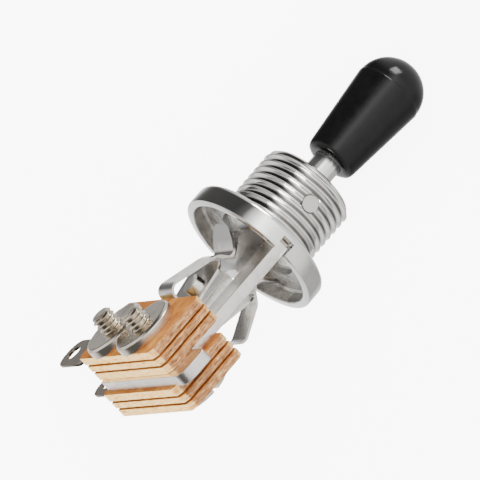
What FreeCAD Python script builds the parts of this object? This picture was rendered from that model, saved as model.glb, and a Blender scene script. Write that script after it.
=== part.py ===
"""Three-way toggle selector switch: threaded bushing over a cupped flange, stamped frame, clamped leaf stack.

Millimetres. The origin is on the bushing's axis in the flange's upper face and +Z runs up the lever. The
pivot pin lies along X and the lever swings towards +Y and -Y. The nuts face -Y, the screw heads face +Y.
"""

import FreeCAD
import Part
import Sketcher
import math
import os
import re

doc = FreeCAD.newDocument("toggle_switch")
V = FreeCAD.Vector

# Driving dimensions
SIZES = [
    ("thread_radius", 6.0, "outside of the thread"),
    ("thread_length", 8.95, "thread above the flange"),
    ("thread_chamfer", 0.55, "lead-in at the top of the thread"),
    ("flange_radius", 9.13, "outside of the cup"),
    ("flange_height", 2.8, "height of the cup"),
    ("flange_edge", 0.7, "rounding of the cup's upper outer edge"),
    ("rim_edge", 0.2, "slope on the rim's outer edge"),
    ("rim_width", 1.05, "width of the cup's rim"),
    ("cup_depth", 1.8, "from the rim to the cup's ceiling"),
    ("bore_radius", 3.5, "bore that the lever swings in"),
    ("well_radius", 5.2, "wider lower end of the bore"),
    ("well_rise", 1.7, "height of the slope between the two"),
    ("notch_rise", 1.75, "height of the notches in the cup's wall"),
    ("notch_gap", 0.1, "room on each face of the frame in its notch"),
    ("pin_height", 5.1, "pivot above the flange's upper face"),
    ("pin_radius", 1.0, "pivot pin"),
    ("pin_recess", 0.15, "pin's ends below the thread's outside"),
    ("pin_gap", 0.01, "pin in the bushing's wall"),
    ("pivot_gap", 0.05, "lever on the pin"),
    ("sink_width", 0.25, "width of the slope round each end of the pin"),
    ("shaft_radius", 1.78, "lever's shaft"),
    ("shaft_chamfer", 0.3, "slope at the top of the shaft"),
    ("shaft_top", 21.5, "top of the shaft, inside the tip"),
    ("collar_radius", 2.7, "lever's collar round the pin"),
    ("collar_half", 1.9, "half the height of the collar"),
    ("collar_slope", 0.7, "slope at each end of the collar"),
    ("foot_half_width", 2.1, "lever's foot along the pin"),
    ("neck_half", 1.5, "half depth of the neck above the foot"),
    ("foot_half", 2.9, "half depth of the foot"),
    ("foot_top", -1.1, "upper edge of the foot"),
    ("foot_slope", 0.6, "rise of the foot's shoulders"),
    ("foot_waist", -2.8, "where the foot starts to taper"),
    ("foot_tip_half", 1.15, "half depth at the foot's end"),
    ("foot_end", -5.9, "foot's lower end"),
    ("foot_round", 0.55, "slope at the foot's lower corners"),
    ("tip_bottom", 12.3, "lower face of the tip"),
    ("tip_mouth_radius", 2.25, "radius of that face"),
    ("tip_neck_radius", 3.25, "tip just above its lower edge"),
    ("tip_neck_rise", 0.9, "rise of the rounded lower edge"),
    ("tip_shoulder_radius", 4.3, "widest part of the tip"),
    ("tip_shoulder", 23.75, "height of the widest part"),
    ("tip_ledge", 0.1, "step between the taper and the dome"),
    ("tip_hole_gap", 0.02, "shaft in the tip's hole"),
    ("frame_thickness", 1.5, "frame's plate"),
    ("arm_reach", 8.45, "outer edge of the frame's arms"),
    ("arm_width", 4.0, "width of an arm"),
    ("arm_top", -1.1, "upper end of the arms"),
    ("arm_corner", 0.6, "cut corner at the top of an arm"),
    ("frame_shoulder", -17.6, "upper edge of the frame's base"),
    ("frame_end", 9.3, "end of the base towards -X"),
    ("earth_reach", 13.9, "end of the earth tab beyond the plates"),
    ("earth_top", -19.3, "upper edge of the earth tab"),
    ("earth_round", 1.6, "rounding of the tab's lower corner"),
    ("frame_round", 0.8, "rounding of the base's other corners"),
    ("slot_bottom", -15.8, "lower end of the slots"),
    ("post_half", 1.1, "half the width of the middle post"),
    ("post_top", -6.6, "top of the middle post"),
    ("stack_top", -14.64, "upper edge of the stack"),
    ("stack_bottom", -23.84, "lower edge of the stack"),
    ("stack_half", 10.5, "half the length of the stack"),
    ("nut_side_shift", 0.5, "plates on the nut side sit higher by this"),
    ("head_side_shift", -0.5, "plates on the head side sit lower by this"),
    ("plate_corner", 0.7, "cut corners of the plates"),
    ("inner_plate", 1.08, "thickness of the plates on the frame"),
    ("middle_plate", 0.85, "thickness of the plates between the leaves"),
    ("outer_plate", 1.05, "thickness of the outermost plates"),
    ("leaf_thickness", 0.3, "spring sheet"),
    ("leaf_bend", 0.9, "bend radius of the leaves"),
    ("leaf_inset", 1.1, "leaf's root inside the plates' edges"),
    ("long_half", 2.0, "half the width of a long leaf"),
    ("paddle_half", 2.7, "half the width of a long leaf's tip"),
    ("paddle_root", -6.0, "height where the tip starts to widen"),
    ("paddle_round", 1.7, "rounding of the tip"),
    ("knee_height", -7.0, "height of its knee"),
    ("shin_height", -6.3, "height of the bend above the knee"),
    ("touch_height", -5.1, "height where it meets the foot"),
    ("flare_height", -2.6, "height of its tip"),
    ("touch_reach", 1.5, "how far from the middle it meets the foot"),
    ("flare_reach", 4.55, "how far its tip leans out"),
    ("nut_bow", 5.05, "bow of the long leaf on the nut side"),
    ("nut_bow_height", -13.1, "height of that bow"),
    ("nut_knee", 3.4, "its knee"),
    ("nut_shin", 3.1, "its bend above the knee"),
    ("head_bow", 6.0, "bow of the long leaf on the head side"),
    ("head_bow_height", -11.2, "height of that bow"),
    ("head_knee", 4.1, "its knee"),
    ("head_shin", 2.9, "its bend above the knee"),
    ("short_half", 3.9, "half the width of a short leaf"),
    ("short_round", 1.6, "rounding of its top"),
    ("short_top", -6.8, "top of the short leaves"),
    ("short_bend_height", -12.6, "height where a short leaf leans out"),
    ("nut_short_reach", 2.7, "top of the short leaf on the nut side"),
    ("head_short_reach", 2.8, "top of the short leaf on the head side"),
    ("contact_radius", 1.25, "contact button"),
    ("contact_height", -10.2, "height of the contacts"),
    ("contact_rise", 0.6, "contact above the short leaf"),
    ("lug_half", 2.15, "half the width of a terminal"),
    ("eye_radius", 1.05, "eye of a terminal"),
    ("lug_flat", 0.25, "half of the flat at a terminal's end"),
    ("lug_neck", 1.3, "half the width of a terminal beside the plates"),
    ("neck_end", 0.9, "from the plates' end to where a terminal widens"),
    ("nut_low_lug", 17.2, "eye of the low terminal on the nut side from the middle"),
    ("head_low_lug", 15.6, "eye of the low terminal on the head side from the middle"),
    ("high_lug_reach", 14.6, "eye of the high terminals from the middle"),
    ("low_lug", -20.9, "height of the low terminals"),
    ("high_lug", -17.0, "height of the high terminals"),
    ("screw_reach", 4.15, "screws from the middle"),
    ("screw_height", -19.6, "height of the screws"),
    ("screw_radius", 1.42, "screw thread"),
    ("screw_out", 2.15, "screw's end beyond its nut"),
    ("screw_chamfer", 0.3, "slope at the screw's end"),
    ("head_radius", 3.5, "screw head"),
    ("head_thickness", 1.4, "screw head"),
    ("head_edge", 0.5, "rounding of the head"),
    ("drive_width", 0.8, "slot in the head"),
    ("drive_depth", 0.6, "depth of that slot"),
    ("nut_radius", 4.08, "round nut"),
    ("nut_thickness", 1.3, "round nut"),
    ("nut_edge", 0.3, "rounding of the nut"),
    ("thread_gap", 0.02, "screw in its nut"),
    ("sleeve_wall", 0.4, "insulating sleeve"),
    ("sleeve_gap", 0.04, "sleeve on its screw and in its holes"),
]

sheet = doc.addObject("Spreadsheet::Sheet", "Sizes")
for row, (alias, value, meaning) in enumerate(SIZES, start=1):
    sheet.set(f"A{row}", alias)
    sheet.set(f"B{row}", str(value))
    sheet.set(f"C{row}", meaning)
    sheet.setAlias(f"B{row}", alias)
doc.recompute()

# Sums of sizes that more than one piece uses
CUP_CEILING = "(cup_depth - flange_height)"
FRAME_HALF = "frame_thickness / 2"
INNER_LEAF = "(frame_thickness / 2 + inner_plate)"
MIDDLE_PLATE = f"({INNER_LEAF} + leaf_thickness)"
OUTER_LEAF = f"({MIDDLE_PLATE} + middle_plate)"
OUTER_PLATE = f"({OUTER_LEAF} + leaf_thickness)"
STACK_SIDE = f"({OUTER_PLATE} + outer_plate)"
SLEEVE_RADIUS = "(screw_radius + sleeve_gap + sleeve_wall)"
SCREW_HOLE = f"({SLEEVE_RADIUS} + sleeve_gap)"
LEAF_BOTTOM = "(stack_bottom + leaf_inset)"


def size(text):
    """Value of a sum of sizes."""
    return float(sheet.evalExpression(text))


def formula(text):
    """The same sum written for an object outside the sheet."""
    return re.sub(r"([a-z_]+)", r"Sizes.\1", text)


def bind(thing, **sums):
    """Ties named properties of an object to sums of sizes."""
    for name, text in sums.items():
        thing.setExpression(name, formula(text))
    return thing


def place(thing, **sums):
    """Ties coordinates of an object's Placement to sums of sizes."""
    for axis, text in sums.items():
        thing.setExpression(f"Placement.Base.{axis}", formula(text))
    return thing


# Directions that primitives and sketches are turned to
ALONG_X = FreeCAD.Rotation(V(0, 1, 0), 90)
AGAINST_X = FreeCAD.Rotation(V(0, 1, 0), -90)
ALONG_Y = FreeCAD.Rotation(V(1, 0, 0), -90)
AGAINST_Y = FreeCAD.Rotation(V(1, 0, 0), 90)
IN_YZ = FreeCAD.Rotation(V(0, 1, 0), V(0, 0, 1), V(1, 0, 0), "XYZ")


def draw(sketch, corners, circles=()):
    """Fills a sketch with a closed outline of straight edges and with round holes, all tied to the sheet."""
    spots = [V(size(x), size(y), 0) for x, y in corners]
    count = len(spots)
    for i, spot in enumerate(spots):
        sketch.addGeometry(Part.LineSegment(spot, spots[(i + 1) % count]), False)
    for i in range(count):
        sketch.addConstraint(Sketcher.Constraint("Coincident", i, 2, (i + 1) % count, 1))
    ties = [(i, 1, x, y) for i, (x, y) in enumerate(corners)]
    for x, y, radius in circles:
        ring = sketch.addGeometry(Part.Circle(V(size(x), size(y), 0), V(0, 0, 1), size(radius)), False)
        tie = sketch.addConstraint(Sketcher.Constraint("Radius", ring, size(radius)))
        sketch.setExpression(f"Constraints[{tie}]", formula(radius))
        ties.append((ring, 3, x, y))
    for item, end, x, y in ties:
        for kind, text in (("DistanceX", x), ("DistanceY", y)):
            tie = sketch.addConstraint(Sketcher.Constraint(kind, -1, 1, item, end, size(text)))
            sketch.setExpression(f"Constraints[{tie}]", formula(text))
    return sketch


def body_sketch(body, name, corners, circles=()):
    """A sketch on the XZ plane of a body."""
    plane = [f for f in body.Origin.OriginFeatures if f.Role == "XZ_Plane"][0]
    sketch = body.newObject("Sketcher::SketchObject", name)
    sketch.AttachmentSupport = [(plane, "")]
    sketch.MapMode = "FlatFace"
    return draw(sketch, corners, circles)


def turned(name, corners):
    """A body turned about Z from a half section of radii and heights."""
    body = doc.addObject("PartDesign::Body", name)
    section = body_sketch(body, name + "_section", corners)
    turn = body.newObject("PartDesign::Revolution", name + "_turn")
    turn.Profile = section
    turn.ReferenceAxis = (section, ["V_Axis"])
    turn.Angle = 360.0
    body.Tip = turn
    return body


def blank(name, outline, holes, thickness, near_face, rounds=()):
    """A body stamped from flat stock in the XZ plane, its face towards -Y at near_face, corners rounded."""
    body = doc.addObject("PartDesign::Body", name)
    profile = body_sketch(body, name + "_outline", outline, holes)
    pad = body.newObject("PartDesign::Pad", name + "_pad")
    pad.Profile = profile
    pad.Reversed = True
    bind(pad, Length=thickness)
    body.Tip = pad
    for number, (radius, corners) in enumerate(rounds):
        doc.recompute()
        before = body.Tip
        spots = [(size(x), size(z)) for x, z in corners]
        edges = []
        for index, edge in enumerate(before.Shape.Edges, start=1):
            ends = [v.Point for v in edge.Vertexes]
            across = len(ends) == 2 and math.hypot(ends[0].x - ends[1].x, ends[0].z - ends[1].z) < 1e-6
            if across and any(math.hypot(ends[0].x - x, ends[0].z - z) < 1e-4 for x, z in spots):
                edges.append(f"Edge{index}")
        rounding = body.newObject("PartDesign::Fillet", f"{name}_round_{number}")
        rounding.Base = (before, edges)
        bind(rounding, Radius=radius)
        body.Tip = rounding
    return place(body, y=near_face)


def rod(name, turn, radius, length, **at):
    """A plain cylinder that starts at a given place."""
    thing = doc.addObject("Part::Cylinder", name)
    thing.Placement = FreeCAD.Placement(V(0, 0, 0), turn)
    bind(thing, Radius=radius, Height=length)
    return place(thing, **at)


def cone(name, turn, start, end, length, **at):
    """A cone that starts at a given place."""
    thing = doc.addObject("Part::Cone", name)
    thing.Placement = FreeCAD.Placement(V(0, 0, 0), turn)
    bind(thing, Radius1=start, Radius2=end, Height=length)
    return place(thing, **at)


def block(name, length, width, height, **at):
    """A plain box from its lowest corner."""
    thing = doc.addObject("Part::Box", name)
    bind(thing, Length=length, Width=width, Height=height)
    return place(thing, **at)


def joined(name, *things):
    """Several shapes as one solid."""
    fuse = doc.addObject("Part::MultiFuse", name)
    fuse.Shapes = list(things)
    fuse.Refine = True
    return fuse


def cut(name, base, *tools):
    """The base without any of the tools."""
    for i, tool in enumerate(tools):
        step = doc.addObject("Part::Cut", f"{name}_{i}")
        step.Base = base
        step.Tool = tool
        base = step
    return base


pieces = {}


def keep(label, thing):
    """Names a finished piece."""
    thing.Label = label
    pieces[label] = thing
    return thing


# Bushing: turned thread over a cupped flange, bored for the lever, notched for the frame, drilled for the pin
bushing_turned = turned("bushing_turned", [
    ("bore_radius", "well_rise"),
    ("well_radius", "0"),
    ("well_radius", CUP_CEILING),
    ("flange_radius - rim_width", CUP_CEILING),
    ("flange_radius - rim_width", "-flange_height"),
    ("flange_radius - rim_edge", "-flange_height"),
    ("flange_radius", "rim_edge - flange_height"),
    ("flange_radius", "-flange_edge"),
    ("flange_radius - flange_edge * 0.3", "-flange_edge * 0.3"),
    ("flange_radius - flange_edge", "0"),
    ("thread_radius", "0"),
    ("thread_radius", "thread_length - thread_chamfer"),
    ("thread_radius - thread_chamfer", "thread_length"),
    ("bore_radius", "thread_length"),
])
bushing_turned.Placement = FreeCAD.Placement(V(0, 0, 0), FreeCAD.Rotation(V(0, 0, 1), 15))
notch = block("bushing_notch", "2 * flange_radius + 2", "frame_thickness + 2 * notch_gap", "notch_rise + 1",
              x="-flange_radius - 1", y="-frame_thickness / 2 - notch_gap", z="-flange_height - 1")
pin_hole = rod("bushing_pin_hole", ALONG_X, "pin_radius + pin_gap", "2 * thread_radius + 2",
               x="-thread_radius - 1", z="pin_height")
sinks = [
    cone("bushing_sink_near", AGAINST_X, "pin_radius + pin_gap + sink_width", "pin_radius + pin_gap",
         "pin_recess + sink_width", x="thread_radius", z="pin_height"),
    cone("bushing_sink_far", ALONG_X, "pin_radius + pin_gap + sink_width", "pin_radius + pin_gap",
         "pin_recess + sink_width", x="-thread_radius", z="pin_height"),
]
keep("bushing", cut("bushing_cut", bushing_turned, notch, pin_hole, *sinks))

# Pivot pin: pressed through the bushing's wall
keep("pivot_pin", rod("pin", ALONG_X, "pin_radius", "2 * (thread_radius - pin_recess)",
                      x="pin_recess - thread_radius", z="pin_height"))

# Lever: one bar, turned to a shaft with a collar round the pin and milled to a flat foot with sloping flanks
lever_turned = turned("lever_turned", [
    ("0", "pin_height - collar_half"),
    ("collar_radius - collar_slope", "pin_height - collar_half"),
    ("collar_radius", "pin_height - collar_half + collar_slope"),
    ("collar_radius", "pin_height + collar_half - collar_slope"),
    ("shaft_radius", "pin_height + collar_half"),
    ("shaft_radius", "shaft_top - shaft_chamfer"),
    ("shaft_radius - shaft_chamfer", "shaft_top"),
    ("0", "shaft_top"),
])
half_foot = [
    ("foot_tip_half - foot_round", "foot_end"),
    ("foot_tip_half", "foot_end + foot_round"),
    ("foot_half", "foot_waist"),
    ("foot_half", "foot_top - foot_slope"),
    ("foot_half - foot_slope", "foot_top"),
    ("neck_half", "foot_top + foot_slope"),
    ("neck_half", "pin_height - collar_half + collar_slope"),
]
foot_section = doc.addObject("Sketcher::SketchObject", "foot_section")
foot_section.Placement = FreeCAD.Placement(V(0, 0, 0), IN_YZ)
draw(foot_section, half_foot + [(f"-({y})", z) for y, z in reversed(half_foot)])
foot = doc.addObject("Part::Extrusion", "foot")
foot.Base = foot_section
foot.DirMode = "Custom"
foot.Dir = V(1, 0, 0)
foot.Solid = True
bind(foot, LengthFwd="foot_half_width", LengthRev="foot_half_width")
pivot_hole = rod("lever_pin_hole", ALONG_X, "pin_radius + pivot_gap", "2 * collar_radius + 2",
                 x="-collar_radius - 1", z="pin_height")
keep("lever", cut("lever_cut", joined("lever_bar", lever_turned, foot), pivot_hole))

# Tip: moulded cap, tapered out to a domed end and pushed down over the shaft's thread
DOME_RADIUS = "(tip_shoulder_radius - tip_ledge)"
DOME_RINGS = 5
tip_turned = turned("tip_turned", [
    ("0", "tip_bottom"),
    ("tip_mouth_radius", "tip_bottom"),
    ("tip_mouth_radius + 0.72 * (tip_neck_radius - tip_mouth_radius)", "tip_bottom + 0.3 * tip_neck_rise"),
    ("tip_neck_radius", "tip_bottom + tip_neck_rise"),
    ("tip_shoulder_radius", "tip_shoulder"),
] + [
    (f"{DOME_RADIUS} * {math.cos(turn):.6f}", f"tip_shoulder + {DOME_RADIUS} * {math.sin(turn):.6f}")
    for turn in (math.pi / 2 * ring / DOME_RINGS for ring in range(DOME_RINGS))
] + [
    ("0", f"tip_shoulder + {DOME_RADIUS}"),
])
tip_hole = doc.addObject("Part::Cylinder", "tip_hole")
bind(tip_hole, Radius="shaft_radius + tip_hole_gap", Height="shaft_top + tip_hole_gap - tip_bottom + 1")
place(tip_hole, z="tip_bottom - 1")
keep("lever_tip", cut("tip_cut", tip_turned, tip_hole))

# Frame: one stamped plate with two arms up into the bushing's notches, a middle post and a base in the stack,
# whose end stands out of the plates towards +X as an earth tab
screw_holes = [("screw_reach", "screw_height", SCREW_HOLE), ("-screw_reach", "screw_height", SCREW_HOLE)]
prongs = [
    ("arm_reach", "arm_top - arm_corner"),
    ("arm_reach - arm_corner", "arm_top"),
    ("arm_reach - arm_width", "arm_top"),
    ("arm_reach - arm_width", "slot_bottom"),
    ("post_half", "slot_bottom"),
    ("post_half", "post_top"),
]
frame_outline = (
    [("earth_reach", "stack_bottom"), ("earth_reach", "earth_top"), ("arm_reach", "earth_top")]
    + prongs
    + [(f"-({x})", z) for x, z in reversed(prongs)]
    + [("-arm_reach", "frame_shoulder"), ("-frame_end", "frame_shoulder"), ("-frame_end", "stack_bottom")]
)
keep("frame", blank("frame_blank", frame_outline, screw_holes, "frame_thickness", "-frame_thickness / 2", [
    ("earth_round", [("earth_reach", "stack_bottom")]),
    ("frame_round", [("earth_reach", "earth_top"), ("arm_reach", "earth_top"), ("-frame_end", "stack_bottom"),
                     ("arm_reach - arm_width", "slot_bottom"), ("-(arm_reach - arm_width)", "slot_bottom")]),
]))


# Fibre plates: three on each side of the frame, with cut corners
def plate(label, near_face, thickness, shift):
    """One insulating plate of the stack."""
    low = f"stack_bottom + {shift}"
    high = f"stack_top + {shift}"
    right = [
        ("stack_half - plate_corner", low),
        ("stack_half", f"{low} + plate_corner"),
        ("stack_half", f"{high} - plate_corner"),
        ("stack_half - plate_corner", high),
    ]
    left = [(f"-({x})", z) for x, z in reversed(right)]
    return keep(label, blank(label + "_blank", right + left, screw_holes, thickness, near_face))


NUT_SIDE = "nut_side_shift"
HEAD_SIDE = "head_side_shift"
plate("nut_side_inner_plate", f"-{INNER_LEAF}", "inner_plate", NUT_SIDE)
plate("nut_side_middle_plate", f"-{OUTER_LEAF}", "middle_plate", NUT_SIDE)
plate("nut_side_outer_plate", f"-{STACK_SIDE}", "outer_plate", NUT_SIDE)
plate("head_side_inner_plate", FRAME_HALF, "inner_plate", HEAD_SIDE)
plate("head_side_middle_plate", MIDDLE_PLATE, "middle_plate", HEAD_SIDE)
plate("head_side_outer_plate", OUTER_PLATE, "outer_plate", HEAD_SIDE)


# Leaves: spring sheet bent along its height, then cut to its outline with its terminal at the -X end
def bent_path(points, radius):
    """A wire in the YZ plane of straight runs joined by tangent arcs."""
    edges = []
    start = points[0]
    for before, corner, after in zip(points, points[1:], points[2:]):
        back = (before - corner).normalize()
        ahead = (after - corner).normalize()
        turn = math.pi - back.getAngle(ahead)
        if turn < 0.01:
            continue
        setback = radius * math.tan(turn / 2)
        middle = (back + ahead).normalize() * (radius / math.cos(turn / 2) - radius)
        arc_start = corner + back * setback
        arc_end = corner + ahead * setback
        edges.append(Part.LineSegment(start, arc_start).toShape())
        edges.append(Part.Arc(arc_start, corner + middle, arc_end).toShape())
        start = arc_end
    edges.append(Part.LineSegment(start, points[-1]).toShape())
    return Part.Wire(edges)


def leaf(label, side, near_face, heights, reaches, outline, eye, rounds):
    """A bent leaf: its section swept along X and cut to the outline of the blank."""
    spots = [V(0, side * size(near_face), size(LEAF_BOTTOM) - 1)]
    for height, reach in zip(heights, reaches):
        spots.append(V(0, side * size(reach), size(height)))
    path = doc.addObject("Part::Feature", label + "_path")
    path.Shape = bent_path(spots, size("leaf_bend"))
    ribbon = doc.addObject("Part::Offset2D", label + "_ribbon")
    ribbon.Source = path
    ribbon.Mode = "Skin"
    ribbon.Fill = True
    bind(ribbon, Value=f"{'-' if side < 0 else ''}leaf_thickness")
    strip = doc.addObject("Part::Extrusion", label + "_strip")
    strip.Base = ribbon
    strip.DirMode = "Custom"
    strip.Dir = V(1, 0, 0)
    strip.Solid = True
    bind(strip, LengthFwd="3 * stack_half", LengthRev="3 * stack_half")
    stencil = blank(label + "_blank", outline, screw_holes + [eye], "8 * stack_half", "-4 * stack_half",
                    rounds)
    common = doc.addObject("Part::MultiCommon", label + "_leaf")
    common.Shapes = [strip, stencil]
    return keep(label, common)


def leaf_outline(top, lug, lug_height):
    """A leaf's blank: what stands above the stack, the root round the screws and the necked terminal."""
    root_end = "(stack_half - leaf_inset)"
    root_top = "stack_top - 2 * leaf_inset"
    waist = "(stack_half + neck_end)"
    ring = f"({waist} + lug_half - lug_neck)"
    end = f"({lug} + lug_half)"
    return (
        [(root_end, LEAF_BOTTOM), (root_end, root_top)]
        + top
        + [(f"-({x})", z) for x, z in reversed(top)]
        + [(f"-{root_end}", root_top), (f"-{root_end}", f"{lug_height} + lug_neck")]
        + [(f"-{waist}", f"{lug_height} + lug_neck"), (f"-{ring}", f"{lug_height} + lug_half")]
        + [(f"-{end}", f"{lug_height} + lug_half"), (f"-{end}", f"{lug_height} - lug_half")]
        + [(f"-{ring}", f"{lug_height} - lug_half"), (f"-{waist}", f"{lug_height} - lug_neck")]
        + [(f"-{root_end}", f"{lug_height} - lug_neck"), (f"-{root_end}", LEAF_BOTTOM)]
    )


long_top = [
    ("long_half", "stack_top - 2 * leaf_inset"),
    ("long_half", "paddle_root - (paddle_half - long_half)"),
    ("paddle_half", "paddle_root + (paddle_half - long_half)"),
    ("paddle_half", "flare_height"),
]
short_top = [("short_half", "stack_top - 2 * leaf_inset"), ("short_half", "short_top")]
FLARE = "(flare_reach + (flare_reach - touch_reach) / (flare_height - touch_height))"
for name, side, low_leaf, low_reach in (
    ("nut", -1, "long", "nut_low_lug"),
    ("head", 1, "short", "head_low_lug"),
):
    lugs = {low_leaf: (low_reach, "low_lug")}
    lugs["short" if low_leaf == "long" else "long"] = ("high_lug_reach", "high_lug")
    lean = f"({name}_short_reach + ({name}_short_reach - {INNER_LEAF}) / (short_top - short_bend_height))"
    shapes = {
        "long": (OUTER_LEAF, long_top, "paddle_round", [("paddle_half", "flare_height")],
                 (f"stack_top + {name}_side_shift + 0.75 * leaf_bend", f"{name}_bow_height", "knee_height",
                  "shin_height", "touch_height", "flare_height + 1"),
                 (OUTER_LEAF, f"{name}_bow", f"{name}_knee", f"{name}_shin", "touch_reach", FLARE)),
        "short": (INNER_LEAF, short_top, "short_round", [("short_half", "short_top")],
                  ("short_bend_height", "short_top + 1"), (INNER_LEAF, lean)),
    }
    for kind, (near_face, top, rounding, corner, heights, reaches) in shapes.items():
        lug, lug_height = lugs[kind]
        x, z = corner[0]
        ends = [(f"-({lug} + lug_half)", f"{lug_height} {sign} lug_half") for sign in "+-"]
        leaf(f"{name}_side_{kind}_leaf", side, near_face, heights, reaches,
             leaf_outline(top, lug, lug_height), (f"-{lug}", lug_height, "eye_radius"),
             [(rounding, [(x, z), (f"-{x}", z)]), ("lug_half - lug_flat", ends)])
    # Contact: a button riveted square to the outer face of the short leaf
    rise = size("short_top") - size("short_bend_height")
    spread = size(f"{name}_short_reach") - size(INNER_LEAF)
    share = (size("contact_height") - size("short_bend_height")) / rise
    outward = V(0, side * rise, -spread).normalize()
    seat = V(0, side * (size(INNER_LEAF) + share * spread), size("contact_height"))
    button = doc.addObject("Part::Cylinder", f"{name}_button")
    square = FreeCAD.Rotation(V(0, 0, 1), outward)
    button.Placement = FreeCAD.Placement(seat + outward * size("leaf_thickness"), square)
    bind(button, Radius="contact_radius", Height="contact_rise")
    keep(f"{name}_side_contact", button)

# Screws: threaded rods through the stack with slotted heads on +Y, round nuts on -Y and insulating sleeves
for name, across in (("near", "screw_reach"), ("far", "-screw_reach")):
    shank = rod(f"{name}_shank", ALONG_Y, "screw_radius",
                f"2 * {STACK_SIDE} + nut_thickness + screw_out - screw_chamfer",
                x=across, y=f"-{STACK_SIDE} - nut_thickness - screw_out + screw_chamfer", z="screw_height")
    point = cone(f"{name}_point", ALONG_Y, "screw_radius - screw_chamfer", "screw_radius", "screw_chamfer",
                 x=across, y=f"-{STACK_SIDE} - nut_thickness - screw_out", z="screw_height")
    head = rod(f"{name}_head", ALONG_Y, "head_radius", "head_thickness - head_edge",
               x=across, y=STACK_SIDE, z="screw_height")
    crown = cone(f"{name}_crown", ALONG_Y, "head_radius", "head_radius - head_edge", "head_edge",
                 x=across, y=f"{STACK_SIDE} + head_thickness - head_edge", z="screw_height")
    slot = block(f"{name}_slot", "2 * head_radius + 2", "drive_depth + 1", "drive_width",
                 x=f"{across} - head_radius - 1", y=f"{STACK_SIDE} + head_thickness - drive_depth",
                 z="screw_height - drive_width / 2")
    bar = joined(f"{name}_screw_bar", shank, point, head, crown)
    keep(f"{name}_screw", cut(f"{name}_screw_cut", bar, slot))
    disc = rod(f"{name}_disc", AGAINST_Y, "nut_radius", "nut_thickness - nut_edge",
               x=across, y=f"-{STACK_SIDE}", z="screw_height")
    bevel = cone(f"{name}_bevel", AGAINST_Y, "nut_radius", "nut_radius - nut_edge", "nut_edge",
                 x=across, y=f"-{STACK_SIDE} - nut_thickness + nut_edge", z="screw_height")
    tapped = rod(f"{name}_tapped", AGAINST_Y, "screw_radius + thread_gap", "nut_thickness + 2",
                 x=across, y=f"1 - {STACK_SIDE}", z="screw_height")
    keep(f"{name}_nut", cut(f"{name}_nut_cut", joined(f"{name}_nut_blank", disc, bevel), tapped))
    tube = rod(f"{name}_tube", ALONG_Y, SLEEVE_RADIUS, f"2 * {STACK_SIDE}",
               x=across, y=f"-{STACK_SIDE}", z="screw_height")
    core = rod(f"{name}_core", ALONG_Y, "screw_radius + sleeve_gap", f"2 * {STACK_SIDE} + 2",
               x=across, y=f"-{STACK_SIDE} - 1", z="screw_height")
    keep(f"{name}_sleeve", cut(f"{name}_sleeve_cut", tube, core))

# Checks and files
doc.recompute()
for thing in doc.Objects:
    if "Invalid" in thing.State or "Error" in thing.State:
        raise RuntimeError(f"{thing.Name} did not build: {thing.State}")
for label, thing in pieces.items():
    shape = thing.Shape
    if shape.isNull() or not shape.isValid() or len(shape.Solids) != 1:
        raise RuntimeError(f"{label} is not one valid solid")
os.makedirs("parts", exist_ok=True)
for label, thing in pieces.items():
    thing.Shape.exportStep(f"parts/{label}.step")
    box = thing.Shape.BoundBox
    print(f"{label:24s} {thing.Shape.Volume:9.2f}  x {box.XMin:7.2f} {box.XMax:7.2f}"
          f"  y {box.YMin:6.2f} {box.YMax:6.2f}  z {box.ZMin:7.2f} {box.ZMax:7.2f}")
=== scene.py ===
import math

import bmesh
import bpy
from mathutils import Matrix, Vector


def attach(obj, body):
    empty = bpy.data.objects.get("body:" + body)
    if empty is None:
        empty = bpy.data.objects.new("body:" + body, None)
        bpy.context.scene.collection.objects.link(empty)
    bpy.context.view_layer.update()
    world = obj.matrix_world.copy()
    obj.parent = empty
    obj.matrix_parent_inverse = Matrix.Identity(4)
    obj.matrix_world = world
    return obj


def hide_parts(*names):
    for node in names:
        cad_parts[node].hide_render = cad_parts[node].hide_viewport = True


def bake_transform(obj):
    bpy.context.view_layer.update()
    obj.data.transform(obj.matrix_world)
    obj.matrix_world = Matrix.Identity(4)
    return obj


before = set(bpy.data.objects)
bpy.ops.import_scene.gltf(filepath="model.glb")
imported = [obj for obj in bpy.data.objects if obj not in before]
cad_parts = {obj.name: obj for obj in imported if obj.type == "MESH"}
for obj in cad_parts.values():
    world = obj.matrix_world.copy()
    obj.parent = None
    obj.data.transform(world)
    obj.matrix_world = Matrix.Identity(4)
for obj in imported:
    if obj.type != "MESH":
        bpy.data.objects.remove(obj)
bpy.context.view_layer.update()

# Flange of the bushing: the lower end of one turned brass piece, nickel plated and bright. A cup is turned
# into its underside, with a cone up to the bore, and its wall is notched on two sides for the frame's arms.
MM = 0.001
SHARP_ANGLE = math.radians(35)
MERGE_DISTANCE = 1e-6
BORE_RADIUS = 3.5
WELL_RADIUS = 5.2
WELL_TOP = 1.7
SPIGOT_RADIUS = 5.5
SPIGOT_TOP = 2.4
FLANGE_RADIUS = 9.13
RIM_HEIGHT = -2.8
RIM_EASE = 0.1
SHOULDER = [(0.0, 0.7), (0.06, 0.43), (0.21, 0.2), (0.43, 0.06), (0.7, 0.0)]
CUP_RADIUS = 8.08
CUP_CEILING = -1.0
CUP_CORNER = 0.25
NOTCH_HALF = 0.85
NOTCH_TOP = -1.05
FLANGE_STEPS = 144


def new_piece(name, bm, body, slot, material, *nodes):
    """Makes a finished piece of a bmesh and puts it on its body, in place of the plain nodes."""
    mesh = bpy.data.meshes.new(name)
    bmesh.ops.recalc_face_normals(bm, faces=bm.faces)
    bm.to_mesh(mesh)
    bm.free()
    piece = bpy.data.objects.new(name, mesh)
    bpy.context.scene.collection.objects.link(piece)
    mesh.shade_smooth()
    mesh.set_sharp_from_angle(angle=SHARP_ANGLE)
    mesh.materials.append(material)
    if body:
        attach(piece, body)
    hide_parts(*nodes)
    return piece


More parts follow.
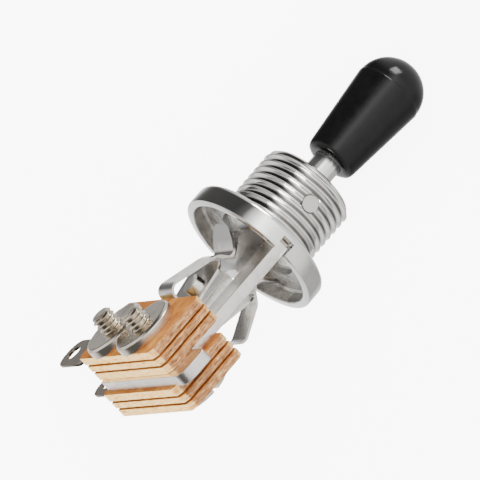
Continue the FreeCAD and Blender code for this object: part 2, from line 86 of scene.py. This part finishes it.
def half_section(bm, points, closed=True):
    """Draws a half section of radii and heights, in millimetres, as a chain of edges."""
    verts = [bm.verts.new((radius * MM, 0, height * MM)) for radius, height in points]
    ends = verts[1:] + verts[:1] if closed else verts[1:]
    for pair in zip(verts, ends):
        bm.edges.new(pair)


def turned(points, steps, closed=True):
    """Turns a half section about the Z axis and closes the seam and the poles."""
    bm = bmesh.new()
    half_section(bm, points, closed)
    bmesh.ops.spin(bm, geom=bm.edges[:] + bm.verts[:], cent=(0, 0, 0), axis=(0, 0, 1), angle=math.tau,
                   steps=steps, use_merge=True)
    bmesh.ops.remove_doubles(bm, verts=bm.verts, dist=MERGE_DISTANCE)
    bmesh.ops.dissolve_degenerate(bm, dist=MERGE_DISTANCE / 10, edges=bm.edges)
    return bm


def cutting_box(low_corner, high_corner):
    """A box between two corners, in millimetres."""
    bm = bmesh.new()
    bmesh.ops.create_cube(bm, size=1.0)
    spans = [(b - a) * MM for a, b in zip(low_corner, high_corner)]
    bmesh.ops.scale(bm, vec=spans, verts=bm.verts)
    middle = [(a + b) / 2 * MM for a, b in zip(low_corner, high_corner)]
    bmesh.ops.translate(bm, vec=middle, verts=bm.verts)
    return bm


def carve(piece, cutters, operation="DIFFERENCE"):
    """Cuts each bmesh out of a piece, or keeps what both share, and stores the result as its mesh."""
    for bm in cutters:
        mesh = bpy.data.meshes.new("cutter")
        bmesh.ops.recalc_face_normals(bm, faces=bm.faces)
        bm.to_mesh(mesh)
        bm.free()
        cutter = bpy.data.objects.new("cutter", mesh)
        bpy.context.scene.collection.objects.link(cutter)
        step = piece.modifiers.new("carve", "BOOLEAN")
        step.object = cutter
        step.operation = operation
        step.solver = "EXACT"
        shown = piece.evaluated_get(bpy.context.evaluated_depsgraph_get())
        carved = bpy.data.meshes.new_from_object(shown)
        piece.modifiers.clear()
        piece.data = carved
        bpy.data.objects.remove(cutter)
    piece.data.shade_smooth()
    piece.data.set_sharp_from_angle(angle=SHARP_ANGLE)


def finish_where(piece, material, chosen):
    """Gives a second finish to the faces chosen by the radius and height of their middles, in millimetres."""
    piece.data.materials.append(material)
    for face in piece.data.polygons:
        middle = face.center / MM
        if chosen(math.hypot(middle.x, middle.y), middle.z):
            face.material_index = 1


def new_material(name):
    """A material with its node tree and its main shader."""
    material = bpy.data.materials.new(name)
    material.use_nodes = True
    tree = material.node_tree
    return material, tree, tree.nodes["Principled BSDF"]


def add_node(tree, kind, **values):
    """A node with its settings and sockets filled in."""
    node = tree.nodes.new(kind)
    for key, value in values.items():
        if hasattr(node, key):
            setattr(node, key, value)
        else:
            node.inputs[key].default_value = value
    return node


def coordinates(tree, stretch=(1, 1, 1)):
    """Object coordinates, each axis multiplied by its own stretch."""
    where = add_node(tree, "ShaderNodeTexCoord")
    mapping = add_node(tree, "ShaderNodeMapping", Scale=stretch)
    tree.links.new(where.outputs["Object"], mapping.inputs["Vector"])
    return mapping.outputs["Vector"]


def noise(tree, where, scale, detail, roughness):
    """A noise over some coordinates, in cells of 1 / scale metres."""
    node = add_node(tree, "ShaderNodeTexNoise", Scale=scale, Detail=detail, Roughness=roughness)
    tree.links.new(where, node.inputs["Vector"])
    return node.outputs["Fac"]


def ramp(tree, source, *stops):
    """A colour ramp over a source: pairs of place and colour or grey."""
    node = add_node(tree, "ShaderNodeValToRGB")
    while len(node.color_ramp.elements) < len(stops):
        node.color_ramp.elements.new(0.5)
    for element, (where, colour) in zip(node.color_ramp.elements, stops):
        element.position = where
        element.color = (*colour, 1) if isinstance(colour, tuple) else (colour, colour, colour, 1)
    tree.links.new(source, node.inputs["Fac"])
    return node.outputs["Color"]


def mix(tree, amount, first, second):
    """A mix of two colours, each of them a socket or a plain colour."""
    node = add_node(tree, "ShaderNodeMix", data_type="RGBA")
    tree.links.new(amount, node.inputs["Factor"])
    for socket, colour in (("A", first), ("B", second)):
        if isinstance(colour, tuple):
            node.inputs[socket].default_value = (*colour, 1)
        else:
            tree.links.new(colour, node.inputs[socket])
    return node.outputs["Result"]


def add_relief(tree, shader, height, strength, distance):
    """Raises the surface by a pattern, as far as the distance in metres."""
    bump = add_node(tree, "ShaderNodeBump", Strength=strength, Distance=distance)
    tree.links.new(height, bump.inputs["Height"])
    tree.links.new(bump.outputs["Normal"], shader.inputs["Normal"])


def plated(name, colour, roughness, spread, grain, grain_size, wear, worn=(0.3, 0.28, 0.25), lines=(1, 1, 1),
           relief=0.00002):
    """Metal with fine tool lines, a roughness that varies by the spread, and darker worn places."""
    material, tree, shader = new_material(name)
    cloud = noise(tree, coordinates(tree), scale=420.0, detail=5.0, roughness=0.6)
    fine = noise(tree, coordinates(tree, lines), scale=grain_size, detail=4.0, roughness=0.65)
    gloss = ramp(tree, cloud, (0.3, roughness - spread), (0.75, roughness + spread))
    tree.links.new(gloss, shader.inputs["Roughness"])
    tone = mix(tree, ramp(tree, cloud, (0.5, 0.0), (0.8, wear)), colour, worn)
    tree.links.new(tone, shader.inputs["Base Color"])
    add_relief(tree, shader, fine, grain, relief)
    shader.inputs["Metallic"].default_value = 1.0
    return material


bright_plate = plated("bright_plate", (0.80, 0.79, 0.77), roughness=0.11, spread=0.05, grain=0.12,
                      grain_size=900.0, wear=0.3, lines=(1, 1, 4))
cup_plate = plated("cup_plate", (0.66, 0.65, 0.63), roughness=0.16, spread=0.08, grain=1.0,
                   grain_size=2600.0, wear=1.0, worn=(0.07, 0.07, 0.07), relief=0.0001)
cup_and_rim = [
    (WELL_RADIUS, 0.0), (WELL_RADIUS, CUP_CEILING), (CUP_RADIUS - CUP_CORNER, CUP_CEILING),
    (CUP_RADIUS, CUP_CEILING - CUP_CORNER), (CUP_RADIUS, RIM_HEIGHT + RIM_EASE),
    (CUP_RADIUS + RIM_EASE, RIM_HEIGHT), (FLANGE_RADIUS - 2 * RIM_EASE, RIM_HEIGHT),
    (FLANGE_RADIUS - 0.06, RIM_HEIGHT + 0.06), (FLANGE_RADIUS, RIM_HEIGHT + 2 * RIM_EASE),
]
spigot = [
    (SPIGOT_RADIUS + 0.2, 0.0), (SPIGOT_RADIUS + 0.05, 0.15), (SPIGOT_RADIUS, 1.0), (BORE_RADIUS, SPIGOT_TOP),
]
shoulder = [(FLANGE_RADIUS - inward, -down) for inward, down in SHOULDER]
flange_mesh = turned([(BORE_RADIUS, WELL_TOP)] + cup_and_rim + shoulder + spigot, FLANGE_STEPS)
flange = new_piece("cupped_flange", flange_mesh, "switch", "plated_brass", bright_plate, "bushing")
carve(flange, [cutting_box((-10, -NOTCH_HALF, RIM_HEIGHT - 1), (10, NOTCH_HALF, NOTCH_TOP))])
finish_where(flange, cup_plate, lambda radius, height: radius < CUP_RADIUS + 0.05 and height < -0.2)

# Barrel of the bushing: the upper end of the same piece, threaded for a panel nut and drilled across for
# the pivot pin, with a small countersink at each end of that hole. The thread's grooves are darkened towards
# their roots with painted shade.
BARREL_RADIUS = 6.0
BARREL_TOP = 8.95
BARREL_STEPS = 120
THREAD_PITCH = 1.0
THREAD_DEPTH = 0.52
TOOTH = [(1.0, 0.0), (1.0, 0.1), (0.08, 0.44), (0.0, 0.5), (0.0, 0.56), (0.08, 0.62)]
# Radii, in metres, where the painted shade in the thread's grooves starts and where it is full.
GROOVE_SHADE_START = 0.0057
GROOVE_SHADE_FULL = 0.00545
PIN_HEIGHT = 5.1
PIN_HOLE_RADIUS = 1.01
SINK_FLOOR = 5.6
SINK_MOUTH = 6.2
SINK_SMALL = 1.0
SINK_LARGE = 1.45


def threaded_rod(radius, depth, pitch, start, end, steps):
    """Winds a thread's tooth up the Z axis and cuts the rod square at both ends, in millimetres."""
    bm = bmesh.new()
    turns = math.ceil((end - start) / pitch) + 2
    half_section(bm, [(radius - share_in * depth, start + (turn - 1.5 + share_up) * pitch)
                      for turn in range(turns) for share_in, share_up in TOOTH], closed=False)
    bmesh.ops.spin(bm, geom=bm.edges[:] + bm.verts[:], cent=(0, 0, 0), axis=(0, 0, 1),
                   dvec=(0, 0, pitch * MM / steps), angle=math.tau, steps=steps, use_merge=False)
    bmesh.ops.remove_doubles(bm, verts=bm.verts, dist=MERGE_DISTANCE)
    for height, is_end in ((start, False), (end, True)):
        bmesh.ops.bisect_plane(bm, geom=bm.verts[:] + bm.edges[:] + bm.faces[:], plane_no=(0, 0, 1),
                               plane_co=(0, 0, height * MM), clear_outer=is_end, clear_inner=not is_end)
        rim = [edge for edge in bm.edges if edge.is_boundary
               and all(abs(vert.co.z - height * MM) < 1e-7 for vert in edge.verts)]
        bmesh.ops.contextual_create(bm, geom=rim)
    return bm


def cutting_rod(start, end, start_radius, end_radius):
    """A rod or cone along X through the place of the pin, in millimetres."""
    bm = bmesh.new()
    bmesh.ops.create_cone(bm, cap_ends=True, segments=64, radius1=start_radius * MM, radius2=end_radius * MM,
                          depth=(end - start) * MM)
    bmesh.ops.rotate(bm, cent=(0, 0, 0), matrix=Matrix.Rotation(math.radians(90), 3, "Y"), verts=bm.verts)
    bmesh.ops.translate(bm, vec=((start + end) / 2 * MM, 0, PIN_HEIGHT * MM), verts=bm.verts)
    return bm


def share_of(tree, value, start, end, kind="LINEAR"):
    """How far a value has gone from start to end, from 0 to 1."""
    node = add_node(tree, "ShaderNodeMapRange", interpolation_type=kind)
    node.inputs["From Min"].default_value = start
    node.inputs["From Max"].default_value = end
    tree.links.new(value, node.inputs["Value"])
    return node.outputs["Result"]


def stain_and_shade(material, colour, measure, start, end):
    """Darkens a metal more and more from start to end, in metres, along the axes that the measure keeps: real
    stains, and painted shade.
    """
    tree = material.node_tree
    shader = tree.nodes["Principled BSDF"]
    kept = add_node(tree, "ShaderNodeVectorMath", operation="LENGTH")
    tree.links.new(coordinates(tree, measure), kept.inputs[0])
    amount = share_of(tree, kept.outputs["Value"], start, end)
    colour_before = shader.inputs["Base Color"].links[0].from_socket
    tree.links.new(mix(tree, amount, colour_before, colour), shader.inputs["Base Color"])


thread_plate = plated("thread_plate", (0.82, 0.81, 0.79), roughness=0.12, spread=0.05, grain=0.1,
                      grain_size=700.0, wear=0.3)
# Painted shade: the thread turns dark towards the roots of its grooves, standing in for the shade inside
# them.
stain_and_shade(thread_plate, (0.12, 0.11, 0.1), (1, 1, 0), GROOVE_SHADE_START, GROOVE_SHADE_FULL)
barrel_mesh = threaded_rod(BARREL_RADIUS, THREAD_DEPTH, THREAD_PITCH, 0.02, BARREL_TOP, BARREL_STEPS)
barrel = new_piece("threaded_barrel", barrel_mesh, "switch", "plated_brass", thread_plate, "bushing")
thread_root = BARREL_RADIUS - THREAD_DEPTH + 0.05
envelope = turned([
    (BORE_RADIUS, 1.2), (thread_root, -0.5), (thread_root, 0.35), (BARREL_RADIUS + 0.2, 0.8),
    (BARREL_RADIUS + 0.2, BARREL_TOP - 0.75), (BARREL_RADIUS - 0.62, BARREL_TOP - 0.02),
    (BORE_RADIUS + 0.2, BARREL_TOP - 0.02), (BORE_RADIUS, BARREL_TOP - 0.2),
], BARREL_STEPS)
carve(barrel, [envelope], "INTERSECT")
carve(barrel, [
    cutting_rod(-7, 7, PIN_HOLE_RADIUS, PIN_HOLE_RADIUS),
    cutting_rod(SINK_FLOOR, SINK_MOUTH, SINK_SMALL, SINK_LARGE),
    cutting_rod(-SINK_MOUTH, -SINK_FLOOR, SINK_LARGE, SINK_SMALL),
])
finish_where(barrel, bright_plate,
             lambda radius, height: radius < BARREL_RADIUS - 0.7 or height > BARREL_TOP - 0.6)

# Pivot pin: a short length of hard steel rod, pressed through the barrel and the lever's collar. Its ends are
# filed off just under the crests of the thread.
pin_steel = plated("pin_steel", (0.62, 0.61, 0.59), roughness=0.28, spread=0.08, grain=0.3, grain_size=900.0,
                   wear=0.4)


def recoat(node, material):
    """Gives a plain node a finish of its own."""
    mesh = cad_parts[node].data
    mesh.materials.clear()
    mesh.materials.append(material)


recoat("pivot_pin", pin_steel)

# Lever: one steel bar, its shaft turned and its foot milled flat on two sides, with sloping flanks that
# push the leaves apart. Its collar is drilled across and swings on the pin.
FLAT_ANGLE = math.radians(0.5)
ROUNDED_ANGLE = math.radians(30)
ROUNDING_STEPS = 2
lever_steel = plated("lever_steel", (0.86, 0.85, 0.84), roughness=0.26, spread=0.05, grain=0.2,
                     grain_size=400.0, wear=0.15, lines=(1, 1, 14))


def plain_copy(node):
    """A plain node's mesh, its loose triangles merged and its flat faces made whole."""
    bm = bmesh.new()
    bm.from_mesh(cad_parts[node].data)
    bmesh.ops.remove_doubles(bm, verts=bm.verts, dist=2 * MERGE_DISTANCE)
    bmesh.ops.dissolve_limit(bm, angle_limit=FLAT_ANGLE, verts=bm.verts, edges=bm.edges)
    return bm


def softened(name, node, body, slot, material, width):
    """A copy of a plain node whose sharp edges are rounded over, by a width in millimetres."""
    piece = new_piece(name, plain_copy(node), body, slot, material, node)
    rounding = piece.modifiers.new("rounding", "BEVEL")
    rounding.width = width * MM
    rounding.segments = ROUNDING_STEPS
    rounding.limit_method = "ANGLE"
    rounding.angle_limit = ROUNDED_ANGLE
    rounding.harden_normals = True


softened("lever_bar", "lever", "toggle", "lever_steel", lever_steel, width=0.12)

# Lever tip: one black plastic moulding, tapered out to a dome and polished, pushed down over the lever's
# shaft. A fine parting line runs round it under the dome.
TIP_BORE = 1.82
TIP_BORE_TOP = 21.5
TIP_FOOT = 12.3
TIP_SIDE = [(2.25, 12.3), (2.7, 12.38), (3.05, 12.62), (3.2, 12.95), (3.26, 13.3), (3.55, 16.2), (3.86, 19.2),
            (4.13, 21.9), (4.27, 23.3), (4.3, 23.62), (4.27, 23.72), (4.25, 23.78)]
DOME_RADIUS = 4.24
DOME_RISE = 4.22
DOME_FOOT = 23.72
TIP_STEPS = 96
polished_black, tree, shader = new_material("polished_black")
haze = noise(tree, coordinates(tree), scale=900.0, detail=6.0, roughness=0.6)
tree.links.new(ramp(tree, haze, (0.35, 0.14), (0.7, 0.22)), shader.inputs["Roughness"])
tree.links.new(ramp(tree, haze, (0.3, 0.004), (0.8, 0.007)), shader.inputs["Base Color"])
add_relief(tree, shader, haze, strength=0.06, distance=0.00003)
shader.inputs["IOR"].default_value = 1.5
shader.inputs["Specular IOR Level"].default_value = 0.22
dome = [(DOME_RADIUS * math.cos(math.radians(angle)), DOME_FOOT + DOME_RISE * math.sin(math.radians(angle)))
        for angle in range(6, 90, 6)]
tip_bore = [(TIP_BORE, TIP_BORE_TOP), (TIP_BORE, TIP_FOOT)]
tip_mesh = turned(tip_bore + TIP_SIDE + dome + [(0, DOME_FOOT + DOME_RISE)], TIP_STEPS, closed=False)
new_piece("moulded_tip", tip_mesh, "toggle", "tip_plastic", polished_black, "lever_tip")

# Frame: one piece stamped from plate, its edges sheared and rough. The arms are staked in the flange, the
# middle post stands between the short leaves and the base is clamped in the stack.
frame_plate = plated("frame_plate", (0.86, 0.82, 0.77), roughness=0.2, spread=0.1, grain=1.0,
                     grain_size=2600.0, wear=0.45, lines=(1, 0.4, 1), relief=0.00006)
softened("stamped_frame", "frame", "switch", "frame_steel", frame_plate, width=0.08)

# Fibre plates: six pieces of pressed fibre board, sawn to length and stacked on both sides of the frame.
# Their faces are mottled brown, and the cut edges show fibres with thin darker layers, made pale with
# painted light on the long edges and dark with painted shade on the sawn ends.
fibre_board, tree, shader = new_material("fibre_board")
layers = noise(tree, coordinates(tree, (0.8, 3, 0.7)), scale=950.0, detail=5.0, roughness=0.8)
blotches = noise(tree, coordinates(tree), scale=520.0, detail=5.0, roughness=0.6)
# Painted light and shade: the same cut fibre gets a pale ramp where it faces Z and a dark one where it faces
# X.
lit_long_edges = ramp(tree, layers, (0.36, (0.62, 0.24, 0.03)), (0.44, (0.97, 0.54, 0.15)),
                  (0.52, (1.0, 0.66, 0.25)), (0.64, (1.0, 0.77, 0.40)))
shaded_sawn_ends = ramp(tree, layers, (0.36, (0.08, 0.028, 0.008)), (0.45, (0.28, 0.11, 0.035)),
                 (0.54, (0.44, 0.21, 0.075)), (0.66, (0.74, 0.47, 0.22)))
faces = ramp(tree, blotches, (0.35, (0.36, 0.11, 0.012)), (0.55, (0.54, 0.20, 0.03)),
             (0.75, (0.70, 0.34, 0.08)))
surface = add_node(tree, "ShaderNodeNewGeometry")
turned_to = add_node(tree, "ShaderNodeSeparateXYZ")
tree.links.new(surface.outputs["Normal"], turned_to.inputs["Vector"])
fibre_colour_and_light = lit_long_edges
for axis, other in (("X", shaded_sawn_ends), ("Y", faces)):
    amount = add_node(tree, "ShaderNodeMath", operation="ABSOLUTE")
    tree.links.new(turned_to.outputs[axis], amount.inputs[0])
    fibre_colour_and_light = mix(tree, ramp(tree, amount.outputs["Value"], (0.6, 0.0), (0.8, 1.0)), fibre_colour_and_light, other)
tree.links.new(fibre_colour_and_light, shader.inputs["Base Color"])
shader.inputs["Roughness"].default_value = 0.72
add_relief(tree, shader, layers, strength=0.8, distance=0.00006)
for side in ("nut_side", "head_side"):
    for place in ("inner", "middle", "outer"):
        softened(f"{side}_{place}_board", f"{side}_{place}_plate", "switch", "fibre", fibre_board, width=0.06)

# Leaves: spring sheet blanked and bent, dull nickel plated. The long ones press on the lever's foot and the
# short ones carry the contact buttons. All are clamped between the plates, and their outer ends are brown.
# Their upper ends, by the flange, are darkened grey with painted shade.
LEAF_HOLD = -13.6
LEAF_CUT = 0.4
LEAF_CUTS = 28
CLEAR_OF_CORNER = 0.06
leaf_sheet = plated("leaf_sheet", (0.70, 0.67, 0.63), roughness=0.17, spread=0.07, grain=0.3,
                    grain_size=420.0, wear=0.8, worn=(0.2, 0.17, 0.14))
stain_and_shade(leaf_sheet, (0.22, 0.17, 0.12), (1, 0, 0), start=0.0105, end=0.0135)
# Painted shade: the leaves turn grey towards their upper ends, by the flange.
stain_and_shade(leaf_sheet, (0.42, 0.41, 0.40), (0, 0, 1), start=0.0045, end=0.0038)
contact_silver = plated("contact_silver", (0.86, 0.84, 0.8), roughness=0.2, spread=0.06, grain=0.2,
                        grain_size=800.0, wear=0.3)


def springy(name, node, slot, material):
    """A copy of a leaf, cut across often enough to bend smoothly."""
    bm = plain_copy(node)
    corners = {vert.co.z / MM for vert in bm.verts}
    for height in [LEAF_HOLD + LEAF_CUT * cut for cut in range(LEAF_CUTS)]:
        if min(abs(height - corner) for corner in corners) > CLEAR_OF_CORNER:
            bmesh.ops.bisect_plane(bm, geom=bm.verts[:] + bm.edges[:] + bm.faces[:],
                                   plane_co=(0, 0, height * MM), plane_no=(0, 0, 1))
    piece = new_piece(name, bm, None, slot, material, node)
    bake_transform(piece)


for side in ("nut_side", "head_side"):
    springy(f"{side}_long_spring", f"{side}_long_leaf", "leaf_nickel", leaf_sheet)
    springy(f"{side}_short_spring", f"{side}_short_leaf", "leaf_nickel", leaf_sheet)
    springy(f"{side}_button", f"{side}_contact", "contact_silver", contact_silver)

# Screws, nuts and sleeves: two plated steel screws go through the whole stack from +Y, each in an
# insulating tube of wound fibre, and round nuts clamp it on -Y. The screws' ends stand out of the nuts.
SCREW_RADIUS = 1.42
SCREW_HEIGHT = -19.6
SCREW_ACROSS = 4.15
SCREW_THREAD_DEPTH = 0.3
SCREW_THREAD_PITCH = 0.6
SCREW_END = 7.77
SCREW_TAPER = 7.25
SCREW_POINT_RADIUS = 1.05
SCREW_CLEAR_RADIUS = 1.6
SCREW_STEPS = 48
SHANK_RADIUS = 1.0
SHANK_END = 4.45
STACK_SIDE = 4.33
HEAD_RADIUS = 3.5
HEAD_TOP = 5.73
HEAD_STEPS = 64
SLOT_FLOOR = 5.13
SLOT_HALF = 0.4
screw_plate = plated("screw_plate", (0.70, 0.62, 0.50), roughness=0.2, spread=0.07, grain=0.6,
                     grain_size=1600.0, wear=0.95, worn=(0.10, 0.07, 0.04))
nut_plate = plated("nut_plate", (0.74, 0.67, 0.58), roughness=0.24, spread=0.08, grain=0.35, grain_size=500.0,
                   wear=0.6, worn=(0.3, 0.24, 0.18))
tube_fibre, tree, shader = new_material("tube_fibre")
strands = noise(tree, coordinates(tree, (6, 1, 6)), scale=700.0, detail=5.0, roughness=0.65)
tree.links.new(ramp(tree, strands, (0.35, (0.38, 0.28, 0.15)), (0.7, (0.62, 0.51, 0.34))),
               shader.inputs["Base Color"])
tree.links.new(ramp(tree, strands, (0.3, 0.5), (0.7, 0.75)), shader.inputs["Roughness"])


def laid_down(bm, across):
    """Lays a piece that was turned about Z along a screw's axis, its top towards -Y."""
    bmesh.ops.rotate(bm, cent=(0, 0, 0), matrix=Matrix.Rotation(math.radians(90), 3, "X"), verts=bm.verts)
    bmesh.ops.translate(bm, vec=(across * MM, 0, SCREW_HEIGHT * MM), verts=bm.verts)
    return bm


for name, across in (("near", SCREW_ACROSS), ("far", -SCREW_ACROSS)):
    shank_and_head = turned([
        (0, SHANK_END), (SHANK_RADIUS, SHANK_END), (SHANK_RADIUS, -STACK_SIDE),
        (HEAD_RADIUS - 0.1, -STACK_SIDE), (HEAD_RADIUS, -STACK_SIDE - 0.1), (HEAD_RADIUS, 0.53 - HEAD_TOP),
        (HEAD_RADIUS - 0.1, 0.23 - HEAD_TOP), (HEAD_RADIUS - 0.4, 0.05 - HEAD_TOP),
        (HEAD_RADIUS - 0.9, -HEAD_TOP), (0, -HEAD_TOP),
    ], HEAD_STEPS, closed=False)
    head = new_piece(f"{name}_screw_head", laid_down(shank_and_head, across), "switch", "screw_steel",
                     screw_plate, f"{name}_screw")
    carve(head, [cutting_box((across - 5, SLOT_FLOOR, SCREW_HEIGHT - SLOT_HALF),
                             (across + 5, 7, SCREW_HEIGHT + SLOT_HALF))])
    thread = threaded_rod(SCREW_RADIUS, SCREW_THREAD_DEPTH, SCREW_THREAD_PITCH, STACK_SIDE + 0.02,
                          SCREW_END + 0.01, SCREW_STEPS)
    end = new_piece(f"{name}_screw_end", laid_down(thread, across), "switch", "screw_steel", screw_plate,
                    f"{name}_screw")
    envelope = turned([
        (0, SCREW_END), (SCREW_POINT_RADIUS, SCREW_END), (SCREW_CLEAR_RADIUS, SCREW_TAPER),
        (SCREW_CLEAR_RADIUS, STACK_SIDE + 0.03), (0, STACK_SIDE + 0.03),
    ], SCREW_STEPS, closed=False)
    carve(end, [laid_down(envelope, across)], "INTERSECT")
    softened(f"{name}_round_nut", f"{name}_nut", "switch", "screw_steel", nut_plate, width=0.1)
    recoat(f"{name}_sleeve", tube_fibre)

# Camera and table: the switch lies on a pale table, seen from above and a little from below its flange.
# The table shows only its upper side, so that a view from behind it shows the switch.
RIGHT = Vector((0.409, 0.669, 0.620)).normalized()
UP = Vector((0.046, -0.694, 0.718)).normalized()
BACK = RIGHT.cross(UP).normalized()
CAMERA_PLACE = BACK * 1.4286 - RIGHT * 0.00267 - UP * 0.00028
CAMERA_LENS = 917
TABLE_UP = Vector((0.939, 0, -0.344)).normalized()
TABLE_DEPTH = 0.0126
TABLE_HALF = 1.2
TABLE_GLOW = 7.0
camera_data = bpy.data.cameras.new("camera")
camera_data.sensor_width = 36
camera_data.lens = CAMERA_LENS
camera_data.clip_end = 20
camera = bpy.data.objects.new("camera", camera_data)
camera_axes = Matrix((RIGHT, BACK.cross(RIGHT), BACK)).transposed()
camera.matrix_world = Matrix.Translation(CAMERA_PLACE) @ camera_axes.to_4x4()
bpy.context.scene.collection.objects.link(camera)
bpy.context.scene.camera = camera

bm = bmesh.new()
bmesh.ops.create_grid(bm, x_segments=2, y_segments=2, size=TABLE_HALF)
table_turn = Vector((0, 0, 1)).rotation_difference(TABLE_UP).to_matrix()
bmesh.ops.rotate(bm, cent=(0, 0, 0), matrix=table_turn, verts=bm.verts)
bmesh.ops.translate(bm, vec=TABLE_UP * -TABLE_DEPTH, verts=bm.verts)
table_mesh = bpy.data.meshes.new("table")
bm.to_mesh(table_mesh)
bm.free()
table = bpy.data.objects.new("table", table_mesh)
bpy.context.scene.collection.objects.link(table)
table_top, tree, shader = new_material("table_top")
shader.inputs["Base Color"].default_value = (0.93, 0.93, 0.93, 1)
shader.inputs["Roughness"].default_value = 0.8
shader.inputs["Emission Color"].default_value = (1, 1, 1, 1)
shader.inputs["Emission Strength"].default_value = TABLE_GLOW
surface = add_node(tree, "ShaderNodeNewGeometry")
clear = add_node(tree, "ShaderNodeBsdfTransparent")
one_sided = add_node(tree, "ShaderNodeMixShader")
tree.links.new(surface.outputs["Backfacing"], one_sided.inputs["Fac"])
tree.links.new(shader.outputs["BSDF"], one_sided.inputs[1])
tree.links.new(clear.outputs["BSDF"], one_sided.inputs[2])
tree.links.new(one_sided.outputs["Shader"], tree.nodes["Material Output"].inputs["Surface"])
table_mesh.materials.append(table_top)
table.visible_glossy = False
table.visible_diffuse = False


# Lights: three soft boxes, placed along the camera's own directions, two from above and one from below.
# Only the small one over the tip is seen in what is glossy.
def softbox(name, right, up, back, size, power, seen=False):
    """A square soft light aimed at the switch, in metres and watts."""
    light_data = bpy.data.lights.new(name, "AREA")
    light_data.shape = "RECTANGLE"
    light_data.size = size
    light_data.size_y = size
    light_data.energy = power
    light = bpy.data.objects.new(name, light_data)
    spot = RIGHT * right + UP * up + BACK * back
    light.matrix_world = Matrix.Translation(spot) @ spot.to_track_quat("Z", "Y").to_matrix().to_4x4()
    bpy.context.scene.collection.objects.link(light)
    light.visible_glossy = seen


softbox("over", -0.10, 0.25, 0.5, size=0.35, power=3.0)
softbox("top", 0.17, 0.46, 0.07, size=0.18, power=1.8, seen=True)
softbox("below", -0.35, -0.42, 0.28, size=0.3, power=7.0)

# Tent: a white tent all round, brighter on some sides than on others, because bright metal shows only what
# stands round it. TENT goes round the bushing's axis, in degrees from +X, and the other values hold above
# and below.
TENT = [(-180, 1.7), (-168, 0.7), (-158, 0.2), (-145, 0.09), (-75, 0.06), (-60, 0.14), (-46, 1.6), (-32, 4.0),
        (-12, 2.2), (20, 1.5), (50, 1.3), (75, 0.62), (120, 0.55), (142, 1.2), (160, 2.2), (180, 1.7)]
BRIGHTEST = 4.0
UNDERNEATH = 1.3
BOTTOM = 0.12
OVERHEAD = 1.2
world = bpy.data.worlds.new("tent")
world.use_nodes = True
tree = world.node_tree
seen_towards = add_node(tree, "ShaderNodeTexCoord")
direction = add_node(tree, "ShaderNodeSeparateXYZ")
tree.links.new(seen_towards.outputs["Generated"], direction.inputs["Vector"])
round_axis = add_node(tree, "ShaderNodeMath", operation="ARCTAN2")
tree.links.new(direction.outputs["Y"], round_axis.inputs[0])
tree.links.new(direction.outputs["X"], round_axis.inputs[1])
share = share_of(tree, round_axis.outputs["Value"], -math.pi, math.pi)
brightness = ramp(tree, share, *[((angle + 180) / 360, bright / BRIGHTEST) for angle, bright in TENT])
for start, end, bright in ((-0.1, -0.45, UNDERNEATH), (-0.6, -0.85, BOTTOM), (0.5, 0.85, OVERHEAD)):
    tilt = share_of(tree, direction.outputs["Z"], start, end, "SMOOTHSTEP")
    brightness = mix(tree, tilt, brightness, (bright / BRIGHTEST, bright / BRIGHTEST, bright / BRIGHTEST))
straight = add_node(tree, "ShaderNodeLightPath")
backdrop = mix(tree, straight.outputs["Is Camera Ray"], brightness, (1, 1, 1))
tree.links.new(backdrop, tree.nodes["Background"].inputs["Color"])
tree.nodes["Background"].inputs["Strength"].default_value = BRIGHTEST
bpy.context.scene.world = world
